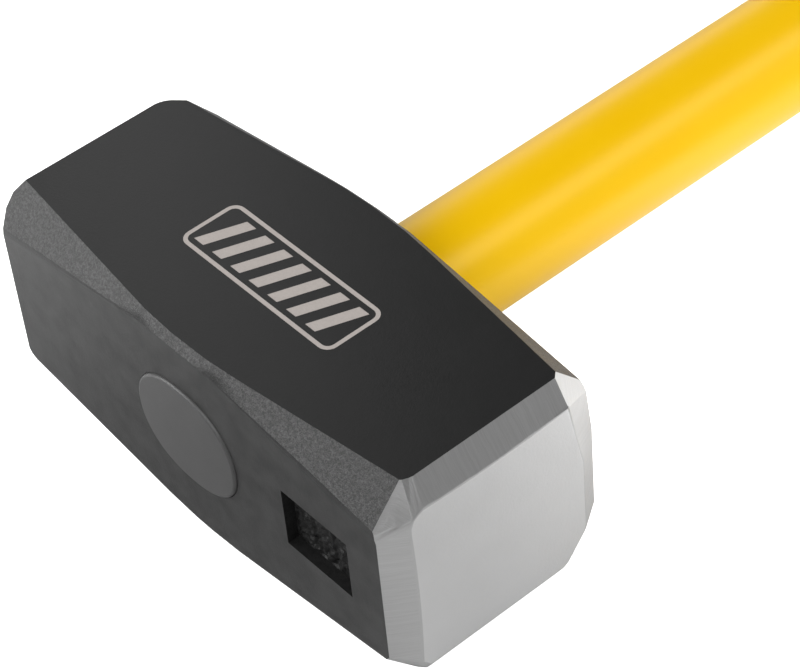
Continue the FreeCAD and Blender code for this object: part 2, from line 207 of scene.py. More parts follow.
def feed(tree, made, **inputs):
    # sockets by name with _ for a space; a link or a plain value
    for key, value in inputs.items():
        socket = made.inputs[key.replace("_", " ")]
        if isinstance(value, bpy.types.NodeSocket):
            tree.links.new(value, socket)
        else:
            socket.default_value = value
    return made


def calc(tree, operation, first, second=0.0, clamp=False):
    made = node(tree, "ShaderNodeMath", operation=operation, use_clamp=clamp)
    for socket, value in zip(made.inputs, (first, second)):
        if isinstance(value, bpy.types.NodeSocket):
            tree.links.new(value, socket)
        else:
            socket.default_value = value
    return made.outputs[0]


def remap(tree, value, low, high, toLow=0.0, toHigh=1.0):
    made = node(tree, "ShaderNodeMapRange")
    feed(tree, made, Value=value, From_Min=low, From_Max=high, To_Min=toLow, To_Max=toHigh)
    return made.outputs["Result"]


def noise(tree, vector, scale, detail=2.0, roughness=0.5):
    made = node(tree, "ShaderNodeTexNoise")
    feed(tree, made, Vector=vector, Scale=scale, Detail=detail, Roughness=roughness)
    return made.outputs["Fac"]


def blendColour(tree, share, first, second):
    made = node(tree, "ShaderNodeMix", data_type="RGBA")
    tree.links.new(share, made.inputs[0])
    for socket, value in zip((made.inputs[6], made.inputs[7]), (first, second)):
        if isinstance(value, bpy.types.NodeSocket):
            tree.links.new(value, socket)
        else:
            socket.default_value = value
    return made.outputs[2]


def grey(level):
    return (level, level, level, 1.0)


def makeSpeckleGroup():
    # two sizes of grain and a broad mottle, all in object space
    group, given, out = newGroup("grainAndMottle", {"Grain": 1800.0, "Mottle": 120.0}, ("Grain", "Mottle"))
    place = node(group, "ShaderNodeTexCoord").outputs["Object"]
    fine = noise(group, place, given.outputs["Grain"], 3.0, 0.6)
    coarse = noise(group, place, calc(group, "MULTIPLY", given.outputs["Grain"], 0.45), 2.0, 0.5)
    both = calc(group, "ADD", calc(group, "MULTIPLY", fine, 0.6), calc(group, "MULTIPLY", coarse, 0.4))
    group.links.new(both, out.inputs["Grain"])
    group.links.new(noise(group, place, given.outputs["Mottle"], 4.0, 0.55), out.inputs["Mottle"])
    return group


def makeGrindGroup():
    # belt lines that run down each ground bevel, whichever way it faces
    group, given, out = newGroup("beltLines", {"Across": 6000.0, "Along": 120.0, "Wander": 0.0004},
                                 ("Lines", "Bands"))
    coords = node(group, "ShaderNodeTexCoord")
    place = node(group, "ShaderNodeSeparateXYZ")
    group.links.new(coords.outputs["Object"], place.inputs[0])
    facing = node(group, "ShaderNodeSeparateXYZ")
    group.links.new(coords.outputs["Normal"], facing.inputs[0])
    height = calc(group, "SUBTRACT", place.outputs["Z"], axisHeight)
    across = calc(group, "SUBTRACT", calc(group, "MULTIPLY", place.outputs["Y"], facing.outputs["Z"]),
                  calc(group, "MULTIPLY", height, facing.outputs["Y"]))
    drift = noise(group, coords.outputs["Object"], 160.0, 2.0)
    drift = calc(group, "MULTIPLY", calc(group, "SUBTRACT", drift, 0.5), given.outputs["Wander"])
    across = calc(group, "ADD", across, drift)
    lined = node(group, "ShaderNodeCombineXYZ")
    group.links.new(calc(group, "MULTIPLY", across, given.outputs["Across"]), lined.inputs["X"])
    group.links.new(calc(group, "MULTIPLY", place.outputs["X"], given.outputs["Along"]), lined.inputs["Y"])
    fine = noise(group, lined.outputs[0], 1.0, 3.0, 0.65)
    broad = noise(group, lined.outputs[0], 0.12, 2.0, 0.5)
    group.links.new(fine, out.inputs["Lines"])
    group.links.new(broad, out.inputs["Bands"])
    return group


speckle = makeSpeckleGroup()
beltLines = makeGrindGroup()


def newMaterial(name, **settings):
    material = bpy.data.materials.new(name)
    material.use_nodes = True
    shader = material.node_tree.nodes["Principled BSDF"]
    for key, value in settings.items():
        shader.inputs[key.replace("_", " ")].default_value = value
    return material, material.node_tree, shader


def useGroup(tree, group, **values):
    made = node(tree, "ShaderNodeGroup", node_tree=group)
    for key, value in values.items():
        made.inputs[key].default_value = value
    return made.outputs


def addBump(tree, shader, height, distance, strength=1.0):
    bump = node(tree, "ShaderNodeBump")
    feed(tree, bump, Height=height, Distance=distance, Strength=strength)
    tree.links.new(bump.outputs[0], shader.inputs["Normal"])


# finishes of the head

paintLook = {
    "cheek": grey(0.0070), "cheekLight": grey(0.0095),
    # the darkest grey here is painted shade for the dark band in the chamfer roundings
    "skin": grey(0.024), "skinLight": grey(0.040), "roundingShade": grey(0.006),
    "blast": grey(0.024), "blastLight": grey(0.086),
}


def makePaint():
    # black paint: satin on the cheeks, a forged skin on the other faces, shot blast on the chamfers
    material, tree, shader = newMaterial("headPaint", Specular_IOR_Level=0.5)
    facing = node(tree, "ShaderNodeSeparateXYZ")
    tree.links.new(node(tree, "ShaderNodeTexCoord").outputs["Normal"], facing.inputs[0])
    cheek = remap(tree, calc(tree, "ABSOLUTE", facing.outputs["Z"]), 0.90, 0.985)
    side = remap(tree, calc(tree, "ABSOLUTE", facing.outputs["Y"]), 0.86, 0.985)
    fine = useGroup(tree, speckle, Grain=2600.0, Mottle=70.0)
    rough = useGroup(tree, speckle, Grain=2900.0, Mottle=160.0)
    spots = remap(tree, rough["Grain"], 0.42, 0.64)
    chamferTone = blendColour(tree, spots, paintLook["blast"], paintLook["blastLight"])
    skinTone = blendColour(tree, remap(tree, rough["Mottle"], 0.35, 0.65), paintLook["skin"],
                           paintLook["skinLight"])
    cheekTone = blendColour(tree, fine["Mottle"], paintLook["cheek"], paintLook["cheekLight"])
    tone = blendColour(tree, side, chamferTone, skinTone)
    # painted shade: the paint is darkened in a band where the chamfers round into the eye and handle faces,
    # standing in for a dark reflection there
    shadeBandOffset = calc(tree, "ABSOLUTE", calc(tree, "SUBTRACT", calc(tree, "ABSOLUTE", facing.outputs["Y"]), 0.90))
    tone = blendColour(tree, remap(tree, shadeBandOffset, 0.02, 0.08, 0.85, 0.0), tone, paintLook["roundingShade"])
    tone = blendColour(tree, cheek, tone, cheekTone)
    tree.links.new(tone, shader.inputs["Base Color"])
    gloss = calc(tree, "ADD", calc(tree, "MULTIPLY", fine["Mottle"], 0.05),
                 remap(tree, cheek, 0.0, 1.0, 0.50, 0.29))
    tree.links.new(gloss, shader.inputs["Roughness"])
    depth = calc(tree, "ADD", remap(tree, cheek, 0.0, 1.0, 1.0, 0.14),
                 remap(tree, side, 0.0, 1.0, 0.0, -0.72))
    grainy = calc(tree, "ADD", rough["Grain"], calc(tree, "MULTIPLY", rough["Mottle"], 0.4))
    height = calc(tree, "MULTIPLY", grainy, depth)
    addBump(tree, shader, height, 0.00035, 0.8)
    return material


def makeRecessShade():
    # darker paint over the recess walls and floor: painted shade for the shadow inside the recess
    material, tree, shader = newMaterial("recessPaintedShade", Specular_IOR_Level=0.25)
    grains = useGroup(tree, speckle, Grain=1500.0, Mottle=700.0)
    tree.links.new(blendColour(tree, grains["Mottle"], grey(0.002), grey(0.014)), shader.inputs["Base Color"])
    tree.links.new(remap(tree, grains["Grain"], 0.3, 0.7, 0.38, 0.62), shader.inputs["Roughness"])
    addBump(tree, shader, grains["Grain"], 0.0002, 0.7)
    return material


def makeGroundBevel():
    material, tree, shader = newMaterial("groundBevel", Metallic=1.0)
    lines = useGroup(tree, beltLines)
    tone = blendColour(tree, lines["Lines"], grey(0.40), grey(0.58))
    tree.links.new(tone, shader.inputs["Base Color"])
    gloss = calc(tree, "ADD", calc(tree, "MULTIPLY", lines["Bands"], 0.08), 0.28)
    tree.links.new(gloss, shader.inputs["Roughness"])
    height = calc(tree, "ADD", lines["Lines"], calc(tree, "MULTIPLY", lines["Bands"], 0.3))
    addBump(tree, shader, height, 0.00004, 0.8)
    return material


def makeGroundFace():
    material, tree, shader = newMaterial("groundFace", Metallic=1.0)
    grains = useGroup(tree, speckle, Grain=1700.0, Mottle=60.0)
    tone = blendColour(tree, grains["Mottle"], grey(0.60), grey(0.68))
    tree.links.new(tone, shader.inputs["Base Color"])
    gloss = calc(tree, "ADD", calc(tree, "MULTIPLY", grains["Mottle"], 0.10), 0.30)
    tree.links.new(gloss, shader.inputs["Roughness"])
    addBump(tree, shader, grains["Grain"], 0.00010, 0.8)
    return material


# sizes of the forging
head = {
    "waistHalf": 0.0100,
    "waistLegs": (0.0018, 0.0022),      # corner chamfer at the waist, along the handle and up
    "endLegs": (0.0090, 0.0106),        # corner chamfer where the ground bevels start
    "bevelStart": halfLength - 0.0048,
    "bevelSlope": (0.0085, 0.0056),     # lean in, over this length
    "stock": 0.0010,
    "crownRadius": 0.900,
    "waistRound": 0.19,
    "sideRounds": (0.0010, 0.0013, 0.0018, 0.0024, 0.0031, 0.0040),     # waist to opening
    "cheekRound": 0.0006,
    "faceEase": 0.00045,
    "facePlane": halfLength - 0.00035,
}

# a lighter pass where the near face meets the handle side, above the middle
secondPass = (Vector((0.07335, 0.0205, axisHeight + 0.0256)), Vector((0.849, 0.517, 0.108)).normalized())

# corner grinds: side along the handle, up, end, start on the chamfer, reach at the face, lean, rounding
cornerGrinds = [
    (-1, 1, 1, 0.0676, 0.0335, 40, 0.0060),
    (1, 1, 1, 0.0661, 0.0315, 35, 0.0004),
    (1, -1, 1, 0.0664, 0.0300, 40, 0.0060),
    (-1, -1, 1, 0.0672, 0.0336, 40, 0.0010),
    (-1, 1, -1, 0.0712, 0.0341, 40, 0.0030),
    (1, 1, -1, 0.0645, 0.0318, 41, 0.0080),
    (1, -1, -1, 0.0665, 0.0318, 40, 0.0020),
    (-1, -1, -1, 0.0670, 0.0326, 40, 0.0030),
]


def chamferPlanes(side, top, end):
    # the waist chamfer, and the one that opens from it towards that end
    waistWidth, waistHeight = head["waistLegs"]
    endWidth, endHeight = head["endLegs"]
    waistPoint = Vector((end * head["waistHalf"], side * (halfWidth - waistWidth / 2),
                         axisHeight + top * (halfThick - waistHeight / 2)))
    waistNormal = Vector((0, side * waistHeight, top * waistWidth)).normalized()
    onCheek = Vector((end * head["bevelStart"], side * (halfWidth - endWidth), axisHeight + top * halfThick))
    onSide = Vector((end * head["bevelStart"], side * halfWidth, axisHeight + top * (halfThick - endHeight)))
    endNormal = (onSide - onCheek).cross(waistPoint - onCheek).normalized()
    if endNormal.y * side < 0:
        endNormal.negate()
    return (waistPoint, waistNormal), (onCheek, endNormal)


def cutCorner(side, top, end, start, reach, lean, rounding):
    # a ground facet over the end of a corner chamfer, blended into the two bevels beside it
    chamfer = chamferPlanes(side, top, end)[1]
    angle = math.radians(lean)
    outward = Vector((0, side * math.cos(angle), top * math.sin(angle)))
    axisPoint = Vector((end * start, 0, axisHeight))
    onChamfer = axisPoint + outward * chamfer[1].dot(chamfer[0] - axisPoint) / chamfer[1].dot(outward)
    onFace = Vector((end * head["facePlane"], 0, axisHeight)) + outward * reach
    level = Vector((0, -outward.z, outward.y))
    normal = level.cross(onFace - onChamfer).normalized()
    if normal.x * end < 0:
        normal.negate()
    facet = (onChamfer, normal)
    cutAway(*facet)
    cheekBevel, sideBevel = bevelPlane(0, top, end), bevelPlane(side, 0, end)
    blends = roundingPlanes(cheekBevel, facet, rounding, 3)
    blends += roundingPlanes(facet, sideBevel, rounding, 3)
    for plane in blends:
        cutAway(*plane)


def bevelPlane(side, top, end):
    lean, length = head["bevelSlope"]
    point = Vector((end * head["bevelStart"], side * halfWidth, axisHeight + top * halfThick))
    return point, Vector((end * lean, side * length, top * length)).normalized()


def makeHead():
    startPiece()
    reach = halfLength + head["stock"]
    bpy.ops.mesh.primitive_cube_add(size=1, location=(0, 0, axisHeight),
                                    scale=(2 * reach, 2 * halfWidth, 2 * halfThick))
    piece = newPiece("head_forging")
    edit(piece)
    for side in (-1, 1):
        for top in (-1, 1):
            sidePlane = (Vector((0, side * halfWidth, axisHeight)), Vector((0, side, 0)))
            cheekPlane = (Vector((0, 0, axisHeight + top * halfThick)), Vector((0, 0, top)))
            for end in (-1, 1):
                waist, opening = chamferPlanes(side, top, end)
                chamfers = [waist] + roundingPlanes(waist, opening, head["waistRound"], 4) + [opening]
                for chamfer, radius in zip(chamfers, head["sideRounds"]):
                    cutAway(*chamfer)
                    for plane in roundingPlanes(sidePlane, chamfer, radius, 4):
                        cutAway(*plane)
                    for plane in roundingPlanes(cheekPlane, chamfer, head["cheekRound"], 2):
                        cutAway(*plane)
    bpy.ops.mesh.select_all(action="SELECT")
    bpy.ops.mesh.remove_doubles(threshold=2e-6)
    for end in (-1, 1):
        for side, top in ((0, 1), (0, -1), (1, 0), (-1, 0)):
            cutAway(*bevelPlane(side, top, end))
    cutAway(*secondPass)
    for corner in cornerGrinds:
        cutCorner(*corner)
    bpy.ops.mesh.select_all(action="SELECT")
    bpy.ops.mesh.remove_doubles(threshold=2e-6)
    leaveEdit()
    return piece


def crownFaces(piece):
    # both ends ground to a wide radius: the head is kept where it lies inside a domed block
    startPiece()
    bpy.ops.mesh.primitive_cube_add(size=1, location=(0, 0, axisHeight), scale=(2 * halfLength, 0.072, 0.072))
    block = newPiece("crownBlock")
    edit(block)
    selectFaces(block, lambda centre, normal: abs(normal.x) > 0.9)
    bpy.ops.mesh.subdivide(number_cuts=26)
    leaveEdit()
    for end in (-1, 1):
        startPiece()
        bpy.ops.object.empty_add(location=(end * (halfLength - head["crownRadius"]), 0, axisHeight))
        middle = bpy.context.active_object
        group = block.vertex_groups.new(name="end")
        group.add([v.index for v in block.data.vertices if v.co.x * end > 0], 1.0, "REPLACE")
        applyModifier(block, "CAST", cast_type="SPHERE", factor=1.0, object=middle, vertex_group="end",
                      use_radius_as_size=False, size=head["crownRadius"])
        block.vertex_groups.clear()
        bpy.data.objects.remove(middle)
    cutWith(piece, block, "INTERSECT")
    edit(piece)

    def isCrown(normal):
        return abs(normal.x) > 0.97

    def isBevel(normal):
        return 0.4 < abs(normal.x) < 0.95

    selectEdgesBetween(piece, isCrown, isBevel)
    bpy.ops.mesh.remove_doubles(threshold=0.0006)
    selectEdgesBetween(piece, isCrown, isBevel)
    bpy.ops.mesh.bevel(offset=head["faceEase"], segments=3, affect="EDGES", clamp_overlap=False)
    leaveEdit()


recess = {
    "near": halfLength - 0.0158,
    "length": 0.0229,
    "height": 0.0179,
    "depth": 0.0030,
    "rise": 0.0009,
    "draft": 0.00035,
    "cuts": 45,
    "grooves": (0.0072, 0.0142),
    "grooveHalf": 0.0006,
    "grooveDepth": 0.0007,
    "lumps": (("CLOUDS", 0.0018, 0.0013), ("VORONOI", 0.0020, 0.0011)),     # kind, size, height
}


def cutRecess(piece):
    startPiece()
    middle = Vector((recess["near"] - recess["length"] / 2, -halfWidth, axisHeight + recess["rise"]))
    bpy.ops.mesh.primitive_cube_add(size=1, location=middle,
                                    scale=(recess["length"], 2 * recess["depth"], recess["height"]))
    cutter = newPiece("recessCutter")
    edit(cutter)
    selectFaces(cutter, lambda centre, normal: normal.y > 0.9)
    shrink = 1 - 2 * recess["draft"] / recess["height"]
    bpy.ops.transform.resize(value=(1 - 2 * recess["draft"] / recess["length"], 1, shrink),
                             center_override=(middle.x, middle.y + recess["depth"], middle.z))
    leaveEdit()
    cutWith(piece, cutter, "DIFFERENCE")

    # cast relief on the floor: two upright grooves, with lumps all over
    floorPlace = -halfWidth + recess["depth"]
    edit(piece)
    selectFaces(piece, lambda centre, normal: abs(centre.y - floorPlace) < 1e-5 and centre.x > 0.02)
    bpy.ops.mesh.subdivide(number_cuts=recess["cuts"])
    leaveEdit()
    onFloor = [v.index for v in piece.data.vertices if abs(v.co.y - floorPlace) < 1e-5 and v.co.x > 0.02]
    edge = recess["draft"] * 1.2
    left, right = recess["near"] - recess["length"], recess["near"]
    inner = [i for i in onFloor
             if left + edge < piece.data.vertices[i].co.x < right - edge
             and abs(piece.data.vertices[i].co.z - middle.z) < recess["height"] / 2 - edge]
    group = piece.vertex_groups.new(name="relief")
    group.add(inner, 1.0, "REPLACE")
    edit(piece)
    for place in recess["grooves"]:
        bpy.ops.mesh.select_mode(type="VERT")
        bpy.ops.mesh.select_all(action="DESELECT")
        leaveEdit()
        for i in inner:
            spot = piece.data.vertices[i].co
            inReach = abs(spot.z - middle.z) < recess["height"] * 0.38
            piece.data.vertices[i].select = inReach and abs(spot.x - left - place) < recess["grooveHalf"]
        bpy.ops.object.mode_set(mode="EDIT")
        bpy.ops.transform.translate(value=(0, recess["grooveDepth"], 0))
    leaveEdit()
    for kind, size, strength in recess["lumps"]:
        lumps = bpy.data.textures.new("relief" + kind.title(), kind)
        lumps.noise_scale = size
        applyModifier(piece, "DISPLACE", texture=lumps, texture_coords="LOCAL", direction="Y",
                      strength=strength, mid_level=0.5, vertex_group="relief")
    piece.vertex_groups.clear()


eye = {
    "long": 0.0179, "short": 0.0152,    # half axes of the oval top
    "rise": 0.0012,
    "seatDepth": 0.0080,
    "mouth": 0.01635,
    "land": 0.0004,                     # straight stretch at the mouth
    "gap": 0.00012,
    "square": 2.2,                      # 2 is an ellipse, and more is squarer
}


def ovalDisc(name, place, grow):
    startPiece()
    bpy.ops.mesh.primitive_circle_add(vertices=112, radius=1, fill_type="NGON",
                                      location=(0, place, axisHeight + eye["rise"]),
                                      rotation=(math.radians(90), 0, 0))
    disc = bpy.context.active_object
    disc.name = name
    bpy.ops.object.transform_apply(location=False, rotation=True, scale=False)
    for corner in disc.data.vertices:
        across, up = abs(corner.co.x), abs(corner.co.z)
        corner.co *= (across ** eye["square"] + up ** eye["square"]) ** (-1 / eye["square"])
    disc.scale = (eye["long"] + grow, 1, eye["short"] + grow)
    return newPiece(name)


def cutEye(piece):
    cutter = ovalDisc("eyeCutter", -halfWidth - 0.004, eye["gap"])
    edit(cutter)
    bpy.ops.mesh.select_all(action="SELECT")
    bpy.ops.mesh.extrude_region_move(TRANSFORM_OT_translate={"value": (0, 0.004 + eye["seatDepth"], 0)})
    bpy.ops.mesh.extrude_region_move(
        TRANSFORM_OT_translate={"value": (0, 2 * halfWidth - eye["seatDepth"] - eye["land"], -eye["rise"])})
    share = eye["mouth"] / (eye["long"] + eye["gap"])
    across = eye["mouth"] / (eye["short"] + eye["gap"])
    bpy.ops.transform.resize(value=(share, 1, across), center_override=(0, halfWidth, axisHeight))
    bpy.ops.mesh.extrude_region_move(TRANSFORM_OT_translate={"value": (0, eye["land"] + 0.004, 0)})
    bpy.ops.mesh.select_all(action="SELECT")
    bpy.ops.mesh.normals_make_consistent(inside=False)
    leaveEdit()
    cutWith(piece, cutter, "DIFFERENCE")


finishNumbers = {"paint": 0, "ground bevel": 1, "ground face": 2, "recess": 3}


def finishHead():
    piece = makeHead()
    print("forged", len(piece.data.polygons))
    crownFaces(piece)
    print("crowned", len(piece.data.polygons))
    cutEye(piece)
    cutRecess(piece)
    smooth(piece, 20)
    for material in (makePaint(), makeGroundBevel(), makeGroundFace(), makeRecessShade()):
        piece.data.materials.append(material)
    for face in piece.data.polygons:
        if abs(face.center.x) > 0.060 and abs(face.normal.x) > 0.35:
            isCrown = abs(face.normal.x) > 0.97
            face.material_index = finishNumbers["ground face" if isCrown else "ground bevel"]
        elif 0.030 < face.center.x < 0.060 and -halfWidth + 1e-5 < face.center.y < -0.02:
            # faces inside the recess take the darker paint, painted shade for the shadow in the recess
            inRecess = abs(face.center.z - axisHeight - recess["rise"]) < recess["height"] / 2 + 1e-5
            face.material_index = finishNumbers["recess" if inRecess else "paint"]
    settle(piece, "head_paint", "head")
    return piece


finishHead()


# plug over the end of the handle
plug = {
    "proud": 0.0008,
    "round": 0.0008,
    "dome": 0.00022,
    "rings": 3,
    "ringWidth": 0.0036,
}


def makePlug():
    outer = -halfWidth - plug["proud"]
    seat = -halfWidth + eye["seatDepth"]
    piece = ovalDisc("eye_cover", seat, 0.0)
    edit(piece)
    bpy.ops.mesh.select_all(action="SELECT")
    bpy.ops.mesh.extrude_region_move(TRANSFORM_OT_translate={"value": (0, outer - seat, 0)})
    selectFaces(piece, lambda centre, normal: abs(centre.y - outer) < 1e-6)
    bpy.ops.mesh.bevel(offset=plug["round"], segments=5, affect="EDGES", clamp_overlap=False)
    selectFaces(piece, lambda centre, normal: abs(centre.y - outer) < 1e-6)
    for _ in range(plug["rings"]):
        bpy.ops.mesh.inset(thickness=plug["ringWidth"])
        bpy.ops.transform.translate(value=(0, -plug["dome"] / plug["rings"], 0))
    bpy.ops.mesh.select_all(action="SELECT")
    bpy.ops.mesh.normals_make_consistent(inside=False)
    leaveEdit()
    smooth(piece, 30)
    material, tree, shader = newMaterial("plugResin", Specular_IOR_Level=0.5)
    grains = useGroup(tree, speckle, Grain=2400.0, Mottle=150.0)
    tone = blendColour(tree, grains["Mottle"], grey(0.062), grey(0.076))
    tree.links.new(tone, shader.inputs["Base Color"])
    gloss = calc(tree, "ADD", calc(tree, "MULTIPLY", grains["Grain"], 0.08), 0.36)
    tree.links.new(gloss, shader.inputs["Roughness"])
    addBump(tree, shader, grains["Grain"], 0.00003, 0.6)
    piece.data.materials.append(material)
    settle(piece, "plug_grey", "eye_plug")


makePlug()

# handle, from the eye to the butt
jacketLow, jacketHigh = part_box("jacket")
gripLow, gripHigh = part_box("grip")
capLow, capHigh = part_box("butt_cap")
collarLow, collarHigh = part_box("neck_collar")
handle = {
    "bore": 0.0110,
    "tang": 0.0130,
    "seat": 0.0140,
    "radius": jacketHigh.x,
    "sides": 120,
}


def makeJacket():
    bore, tang, seat, radius = handle["bore"], handle["tang"], handle["seat"], handle["radius"]
    piece = turned("handle_jacket", [
        (bore, jacketLow.y), (tang, jacketLow.y), (tang, halfWidth), (radius, halfWidth),
        (radius, gripLow.y), (seat, gripLow.y), (seat, jacketHigh.y), (bore, jacketHigh.y),
        (bore, jacketLow.y)], handle["sides"])
    # mould parting line along both sides of the bare handle
    edit(piece)
    for side in (-1, 1):
        lean = math.radians(-38 if side < 0 else 142)
        spot = Vector((radius * math.cos(lean), 0, axisHeight + radius * math.sin(lean)))

        def within(reach):
            return lambda a, b: abs(a.y - b.y) > 0.1 and math.hypot(a.x - spot.x, a.z - spot.z) < reach

        selectEdges(piece, within(0.0005))
        bpy.ops.mesh.bevel(offset=0.00022, segments=2, affect="EDGES", clamp_overlap=False)
        selectEdges(piece, within(0.00012))
        bpy.ops.transform.translate(value=(0.00010 * math.cos(lean), 0, 0.00010 * math.sin(lean)))
    leaveEdit()
    smooth(piece, 30)
    material, tree, shader = newMaterial("jacketYellow", Specular_IOR_Level=0.5,
                                         Specular_Tint=(1, 0.9, 0.5, 1))
    grains = useGroup(tree, speckle, Grain=900.0, Mottle=24.0)
    tone = blendColour(tree, grains["Mottle"], (0.97, 0.545, 0.0, 1), (1.0, 0.60, 0.0, 1))
    tree.links.new(tone, shader.inputs["Base Color"])
    gloss = calc(tree, "ADD", calc(tree, "MULTIPLY", grains["Mottle"], 0.12), 0.28)
    tree.links.new(gloss, shader.inputs["Roughness"])
    addBump(tree, shader, grains["Grain"], 0.00003, 0.5)
    piece.data.materials.append(material)
    settle(piece, "jacket_yellow", "jacket")


def makeBlack(name, tone, gloss, grain, depth):
    material, tree, shader = newMaterial(name, Specular_IOR_Level=0.45)
    grains = useGroup(tree, speckle, Grain=grain, Mottle=90.0)
    shade = blendColour(tree, grains["Mottle"], grey(tone * 0.75), grey(tone * 1.3))
    tree.links.new(shade, shader.inputs["Base Color"])
    dullness = calc(tree, "ADD", calc(tree, "MULTIPLY", grains["Mottle"], 0.14), gloss)
    tree.links.new(dullness, shader.inputs["Roughness"])
    addBump(tree, shader, grains["Grain"], depth, 0.7)
    return material


def makeCollar():
    radius, inner = collarHigh.x, handle["radius"]
    piece = turned("neck_ring", [
        (inner, collarLow.y), (radius - 0.0004, collarLow.y), (radius, collarLow.y + 0.0004),
        (radius, collarHigh.y - 0.0012), (radius - 0.00035, collarHigh.y - 0.00035),
        (radius - 0.0012, collarHigh.y), (inner + 0.0006, collarHigh.y), (inner, collarHigh.y - 0.0005),
        (inner, collarLow.y)], 96)
    applyModifier(piece, "BEVEL", width=0.0003, segments=2, angle_limit=math.radians(25))
    smooth(piece, 30)
    piece.data.materials.append(makeBlack("collarRubber", 0.014, 0.42, 1600.0, 0.00005))
    settle(piece, "collar_black", "neck_collar")


grip = {
    "lip": 0.014, "pitch": 0.009, "groove": 0.003, "depth": 0.0012, "shoulder": 0.0005,
    "flare": 0.034, "band": 0.012, "wall": 0.0175, "seat": 0.014,
}


def makeGrip():
    radius, flareRadius = grip["wall"], gripHigh.x
    flareEnd = gripHigh.y - grip["band"]
    flareStart = flareEnd - grip["flare"]
    stations = [(grip["seat"], gripLow.y), (radius - 0.001, gripLow.y), (radius, gripLow.y + 0.001)]
    place = gripLow.y + grip["lip"]
    while place + 2 * grip["groove"] < flareStart:
        low = radius - grip["depth"]
        stations += [(radius, place), (low, place + grip["shoulder"]),
                     (low, place + grip["groove"] - grip["shoulder"]), (radius, place + grip["groove"])]
        place += grip["pitch"]
    for step in range(9):
        share = step / 8
        rise = (1 - math.cos(math.pi * share)) / 2
        stations.append((radius + (flareRadius - radius) * rise, flareStart + grip["flare"] * share))
    stations += [(flareRadius, gripHigh.y - 0.001), (flareRadius - 0.001, gripHigh.y),
                 (grip["seat"], gripHigh.y), (grip["seat"], gripLow.y)]
    piece = turned("grip_sleeve", stations, 72)
    applyModifier(piece, "BEVEL", width=0.0004, segments=2, angle_limit=math.radians(28))
    smooth(piece, 35)
    piece.data.materials.append(makeBlack("gripRubber", 0.020, 0.52, 1200.0, 0.00012))
    settle(piece, "grip_black", "grip")


def makeCap():
    flange, spigot = capHigh.x, grip["seat"]
    dish = flange * 0.62
    piece = turned("cap_moulding", [
        (0.0004, capLow.y), (spigot, capLow.y), (spigot, gripHigh.y), (flange, gripHigh.y),
        (flange, capHigh.y - 0.0025), (flange - 0.0008, capHigh.y - 0.0008), (flange - 0.0025, capHigh.y),
        (dish, capHigh.y), (dish - 0.0010, capHigh.y - 0.0010), (0.0004, capHigh.y - 0.0010)], 72)
    edit(piece)
    for place in (capLow.y, capHigh.y - 0.0010):
        selectEdges(piece, lambda a, b: all(abs(p.y - place) < 1e-6 and abs(p.x) < 0.0005 for p in (a, b)))
        bpy.ops.mesh.edge_face_add()
    bpy.ops.mesh.select_all(action="SELECT")
    bpy.ops.mesh.normals_make_consistent(inside=False)
    leaveEdit()
    applyModifier(piece, "BEVEL", width=0.0004, segments=2, angle_limit=math.radians(25))
    smooth(piece, 35)
    piece.data.materials.append(makeBlack("capPlastic", 0.018, 0.36, 2000.0, 0.00004))
    settle(piece, "cap_black", "butt_cap")


makeJacket()
makeCollar()
makeGrip()
makeCap()

# etched panel on the upper cheek
etch = {"length": 0.054, "width": 0.0175, "line": 0.0011, "bars": 7, "barWidth": 0.0034, "slant": 0.0045,
        "middle": (0.0007, -0.0005), "thick": 0.00004}


def makeEtch():
    level = headHigh.z
    middleX, middleY = etch["middle"]
    startPiece()
    bpy.ops.mesh.primitive_plane_add(size=1, location=(middleX, middleY, level))
    bpy.context.active_object.scale = (etch["length"], etch["width"], 1)
    piece = newPiece("cheek_etch")
    edit(piece)
    bpy.ops.mesh.select_mode(type="VERT")
    bpy.ops.mesh.select_all(action="SELECT")
    bpy.ops.mesh.bevel(offset=0.003, segments=6, affect="VERTICES")
    bpy.ops.mesh.select_mode(type="FACE")
    bpy.ops.mesh.select_all(action="SELECT")
    bpy.ops.mesh.inset(thickness=etch["line"])
    bpy.ops.mesh.delete(type="FACE")
    leaveEdit()
    innerHalf = etch["width"] / 2 - 2.4 * etch["line"]
    pitch = (etch["length"] - 2 * etch["line"] - etch["slant"]) / etch["bars"]
    bars = []
    for number in range(etch["bars"]):
        startPiece()
        place = middleX + (number - (etch["bars"] - 1) / 2) * pitch
        bpy.ops.mesh.primitive_plane_add(size=1, location=(place, middleY, level))
        bpy.context.active_object.scale = (etch["barWidth"], 2 * innerHalf, 1)
        bar = newPiece("bar")
        edit(bar)
        selectEdges(bar, lambda a, b: a.y > middleY and b.y > middleY)
        bpy.ops.transform.translate(value=(etch["slant"] / 2, 0, 0))
        selectEdges(bar, lambda a, b: a.y < middleY and b.y < middleY)
        bpy.ops.transform.translate(value=(-etch["slant"] / 2, 0, 0))
        leaveEdit()
        bars.append(bar)
    makeActive(piece)
    for bar in bars:
        bar.select_set(True)
    bpy.ops.object.join()
    applyModifier(piece, "SOLIDIFY", thickness=etch["thick"], offset=0.0)
    material, tree, shader = newMaterial("etchedSteel")
    grains = useGroup(tree, speckle, Grain=2600.0, Mottle=300.0)
    tone = blendColour(tree, grains["Grain"], (0.36, 0.32, 0.30, 1), (0.52, 0.48, 0.45, 1))
    tree.links.new(tone, shader.inputs["Base Color"])
    gloss = calc(tree, "ADD", calc(tree, "MULTIPLY", grains["Grain"], 0.2), 0.4)
    tree.links.new(gloss, shader.inputs["Roughness"])
    addBump(tree, shader, grains["Grain"], 0.00003, 0.6)
    piece.data.materials.append(material)
    settle(piece, "ground_steel")


makeEtch()

# pieces inside, carried over from the frame

